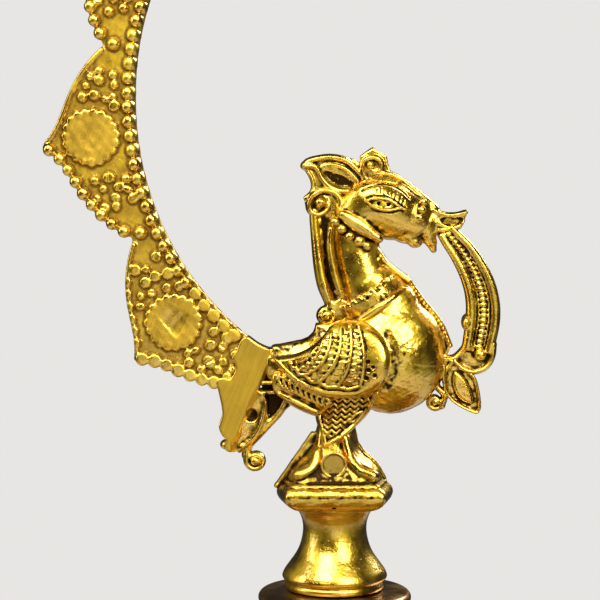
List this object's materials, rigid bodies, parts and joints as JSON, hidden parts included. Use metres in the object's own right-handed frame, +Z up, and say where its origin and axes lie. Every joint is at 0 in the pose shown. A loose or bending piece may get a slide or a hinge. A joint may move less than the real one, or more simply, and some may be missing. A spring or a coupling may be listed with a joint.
{
  "type": "standing oil lamp",
  "caption": "Turned brass standing oil lamp with a bell foot, baluster stem and spouted oil dish on a tie rod, topped by a screwed-on goose finial with a scalloped crescent tail.",
  "frame": {"origin": "centre of the bell foot's underside", "axes": "+Z up along the stem, +X the way the bird faces, +Y to the bird's left"},
  "size_m": [0.2, 0.2, 0.6031],
  "materials": {
    "cast_brass": "sand-cast, filed and buffed, with dark brown patina in the recesses",
    "turned_brass": "turned and polished, with light tarnish",
    "aged_brass": "turned, browned by oil and heat",
    "plain_steel": "plain, slightly dull",
    "rubber_seal": "matt black"
  },
  "bodies": {
    "stand": {"bell_foot": "turned_brass", "stem_lower": "turned_brass", "stem_knop": "turned_brass", "stem_upper": "turned_brass", "dish_calyx": "turned_brass", "tie_rod": "plain_steel", "dish_seal_lower": "rubber_seal", "oil_dish": "aged_brass"},
    "post_seat": {"dish_seal_upper": "rubber_seal"},
    "post": {"dish_post": "aged_brass", "finial_stud": "plain_steel"},
    "finial_seat": {"finial_washer": "rubber_seal"},
    "finial": {"finial_spool": "turned_brass", "bird_foot": "cast_brass", "foot_rivet": "cast_brass", "bird_trunk": "cast_brass", "neck_and_head": "cast_brass", "neck_collar": "cast_brass", "wing_near": "cast_brass", "wing_far": "cast_brass", "fringe_near": "cast_brass", "fringe_far": "cast_brass", "thigh_near": "cast_brass", "thigh_far": "cast_brass", "crest": "cast_brass", "nape_ribbon": "cast_brass", "garland": "cast_brass", "garland_bud": "cast_brass", "breast_web": "cast_brass", "tail_crescent": "cast_brass", "tail_block": "cast_brass", "rump_scroll": "cast_brass"},
    "nut_seat": {"nut_washer": "plain_steel"},
    "nut": {"base_nut": "plain_steel"}
  },
  "joints": [
    {"name": "post_lift", "type": "slide", "parent": "stand", "child": "post_seat", "axis": [0, 0, 1], "range_m": [0, 0.0075]},
    {"name": "post_turn", "type": "hinge", "parent": "post_seat", "child": "post", "pos_m": [0, 0, 0.3185], "axis": [0, 0, 1], "range_deg": [0, 1800]},
    {"name": "finial_lift", "type": "slide", "parent": "post", "child": "finial_seat", "axis": [0, 0, 1], "range_m": [0, 0.0075]},
    {"name": "finial_turn", "type": "hinge", "parent": "finial_seat", "child": "finial", "pos_m": [0, 0, 0.369], "axis": [0, 0, 1], "range_deg": [0, 2160]},
    {"name": "nut_drop", "type": "slide", "parent": "stand", "child": "nut_seat", "axis": [0, 0, -1], "range_m": [0, 0.0075]},
    {"name": "nut_turn", "type": "hinge", "parent": "nut_seat", "child": "nut", "pos_m": [0, 0, 0.045], "axis": [0, 0, -1], "range_deg": [0, 1800]}
  ],
  "couplings": [
    {"joint": "post_turn", "follows": "post_lift", "rad_per_m": 4188.8},
    {"joint": "finial_turn", "follows": "finial_lift", "rad_per_m": 5026.5},
    {"joint": "nut_turn", "follows": "nut_drop", "rad_per_m": 4188.8}
  ]
}
